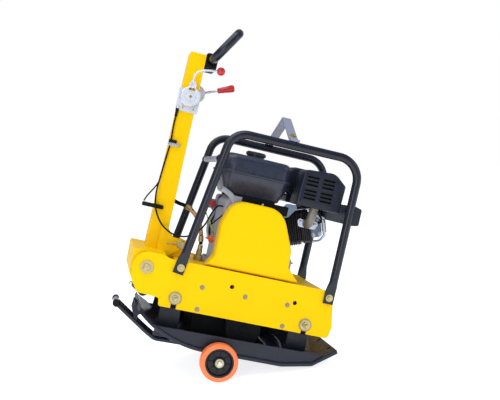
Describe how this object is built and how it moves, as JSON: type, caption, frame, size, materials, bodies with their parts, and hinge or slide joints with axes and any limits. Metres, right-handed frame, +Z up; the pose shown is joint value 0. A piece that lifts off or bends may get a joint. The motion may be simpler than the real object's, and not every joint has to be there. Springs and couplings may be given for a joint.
{
  "type": "plate compactor",
  "caption": "Reversible vibratory plate compactor with petrol engine, tube cage, folding mast with loop handle, and a two-wheel transport trolley under its base plate.",
  "frame": {"origin": "centre of the bounding box on the floor, under the machine standing on its trolley wheels and the front knee of its plate", "axes": "+X forward, away from the mast; +Y to the far side, along the wheel axle; +Z up from the floor"},
  "size_m": [0.8392, 0.554, 1.1303],
  "materials": {
    "paint_yellow": "glossy yellow powder coat, clean, edges slightly worn",
    "paint_black": "satin black powder coat",
    "cast_plate": "black painted iron with a light orange peel",
    "plastic_black": "fine grained moulded plastic",
    "rubber_black": "matt black rubber",
    "tyre_orange": "orange polyurethane tread, satin",
    "cap_orange": "orange moulded plastic",
    "red_plastic": "glossy red plastic",
    "zinc_yellow": "yellow passivated zinc",
    "steel_bright": "bright zinc plated or machined steel",
    "aluminium_cast": "die cast aluminium, fine grain",
    "paint_grey": "light grey paint, satin",
    "exhaust_steel": "heat tinted brown grey steel"
  },
  "bodies": {
    "machine": {"base_plate": "cast_plate", "exciter_housing": "cast_plate", "v_belt": "rubber_black", "chassis": "paint_yellow", "rubber_mount_rear_near": "rubber_black", "rubber_mount_front_near": "rubber_black", "rubber_mount_rear_far": "rubber_black", "rubber_mount_front_far": "rubber_black", "mast_pivot_bolt": "zinc_yellow", "cage_near": "paint_black", "cage_far": "paint_black", "cage_crossbar": "paint_grey", "front_guard": "paint_black", "lifting_bail": "paint_grey", "belt_cover": "paint_yellow", "crankcase": "cast_plate", "cylinder": "cast_plate", "cylinder_head": "aluminium_cast", "cylinder_shroud": "steel_bright", "fuel_tank": "plastic_black", "muffler": "exhaust_steel", "muffler_guard": "plastic_black", "air_cleaner": "plastic_black", "carburettor": "aluminium_cast", "fan_shroud": "paint_grey", "recoil_cover": "paint_grey", "hydraulic_hose": "rubber_black", "hose_fitting": "zinc_yellow", "throttle_cable": "rubber_black"},
    "mast": {"mast": "paint_yellow", "handle_loop": "paint_black", "handle_block": "rubber_black", "throttle_drum": "aluminium_cast", "hand_pump": "aluminium_cast"},
    "lock_pin": {"mast_lock_pin": "zinc_yellow"},
    "throttle_lever": {"throttle_lever": "steel_bright", "throttle_knob": "red_plastic"},
    "direction_lever": {"direction_lever": "steel_bright", "direction_grip": "red_plastic"},
    "trolley": {"trolley_frame": "paint_black"},
    "wheel_near": {"wheel_tyre_near": "tyre_orange", "wheel_hub_near": "plastic_black"},
    "wheel_far": {"wheel_tyre_far": "tyre_orange", "wheel_hub_far": "plastic_black"},
    "crankshaft": {"crankshaft": "steel_bright", "clutch_pulley": "steel_bright", "flywheel_fan": "aluminium_cast"},
    "exciter_front": {"exciter_shaft_front": "steel_bright", "exciter_gear_front": "steel_bright", "exciter_pulley": "cast_plate"},
    "exciter_rear": {"exciter_shaft_rear": "steel_bright", "exciter_gear_rear": "steel_bright"},
    "recoil_pulley": {"recoil_pulley": "plastic_black"},
    "recoil_handle": {"recoil_handle": "plastic_black"},
    "fuel_cap": {"fuel_cap": "plastic_black"},
    "engine_switch": {"engine_switch": "red_plastic"},
    "choke_lever": {"choke_lever": "plastic_black"},
    "fuel_valve_lever": {"fuel_valve_lever": "plastic_black"},
    "oil_cap_rear": {"oil_cap_rear": "cap_orange"},
    "oil_cap_front": {"oil_cap_front": "cap_orange"}
  },
  "joints": [
    {"name": "mast_fold", "type": "hinge", "parent": "machine", "child": "mast", "pos_m": [-0.30199, 0, 0.38965], "axis": [0, 1, 0], "range_deg": [-60, 0], "deforming": ["hydraulic_hose", "throttle_cable"]},
    {"name": "lock_pin_pull", "type": "slide", "parent": "mast", "child": "lock_pin", "axis": [0, -1, 0], "range_m": [0, 0.02]},
    {"name": "throttle_turn", "type": "hinge", "parent": "mast", "child": "throttle_lever", "pos_m": [-0.10109, -0.08, 0.92157], "axis": [0, 1, 0], "range_deg": [0, 50]},
    {"name": "direction_turn", "type": "hinge", "parent": "mast", "child": "direction_lever", "pos_m": [-0.06388, 0.09, 0.93889], "axis": [0, 1, 0], "range_deg": [-28, 28]},
    {"name": "trolley_swing", "type": "hinge", "parent": "machine", "child": "trolley", "pos_m": [-0.34457, 0, 0.22367], "axis": [0, 1, 0], "range_deg": [0, 35]},
    {"name": "wheel_near_spin", "type": "hinge", "parent": "trolley", "child": "wheel_near", "pos_m": [-0.10958, -0.247, 0.07022], "axis": [0, 1, 0], "continuous": true},
    {"name": "wheel_far_spin", "type": "hinge", "parent": "trolley", "child": "wheel_far", "pos_m": [-0.10958, 0.247, 0.07022], "axis": [0, 1, 0], "continuous": true},
    {"name": "exciter_front_spin", "type": "hinge", "parent": "machine", "child": "exciter_front", "pos_m": [-0.00949, 0, 0.14485], "axis": [0, 1, 0], "continuous": true},
    {"name": "exciter_rear_spin", "type": "hinge", "parent": "machine", "child": "exciter_rear", "pos_m": [-0.10456, 0, 0.17587], "axis": [0, 1, 0], "continuous": true},
    {"name": "crankshaft_spin", "type": "hinge", "parent": "machine", "child": "crankshaft", "pos_m": [0.04078, 0, 0.44401], "axis": [0, 1, 0], "continuous": true},
    {"name": "recoil_pull", "type": "slide", "parent": "machine", "child": "recoil_handle", "axis": [-0.7305, 0, 0.6829], "range_m": [0, 0.06], "stiffness_N_per_m": 60},
    {"name": "recoil_pulley_turn", "type": "hinge", "parent": "machine", "child": "recoil_pulley", "pos_m": [0.04078, 0.156, 0.44401], "axis": [0, 1, 0], "range_deg": [-75, 75]},
    {"name": "fuel_cap_turn", "type": "hinge", "parent": "machine", "child": "fuel_cap", "pos_m": [0.11087, -0.03, 0.71041], "axis": [0.3102, 0, 0.9507], "range_deg": [0, 90]},
    {"name": "engine_switch_turn", "type": "hinge", "parent": "machine", "child": "engine_switch", "pos_m": [-0.03865, 0.094, 0.55198], "axis": [0, 1, 0], "range_deg": [0, 60]},
    {"name": "choke_turn", "type": "hinge", "parent": "machine", "child": "choke_lever", "pos_m": [0.25146, 0.1, 0.48362], "axis": [0, 1, 0], "range_deg": [-30, 0]},
    {"name": "fuel_valve_turn", "type": "hinge", "parent": "machine", "child": "fuel_valve_lever", "pos_m": [0.27315, 0.1, 0.4534], "axis": [0, 1, 0], "range_deg": [0, 45]},
    {"name": "oil_cap_rear_turn", "type": "hinge", "parent": "machine", "child": "oil_cap_rear", "pos_m": [-0.0667, 0, 0.43701], "axis": [0.9507, 0, -0.3102], "range_deg": [0, 90]},
    {"name": "oil_cap_front_turn", "type": "hinge", "parent": "machine", "child": "oil_cap_front", "pos_m": [0.19174, 0, 0.32639], "axis": [0.9507, 0, -0.3102], "range_deg": [0, 90]}
  ],
  "couplings": [
    {"joint": "exciter_rear_spin", "follows": "exciter_front_spin", "ratio": -1},
    {"joint": "crankshaft_spin", "follows": "exciter_front_spin", "ratio": 1.25},
    {"joint": "recoil_pulley_turn", "follows": "recoil_pull", "rad_per_m": -20.833}
  ]
}
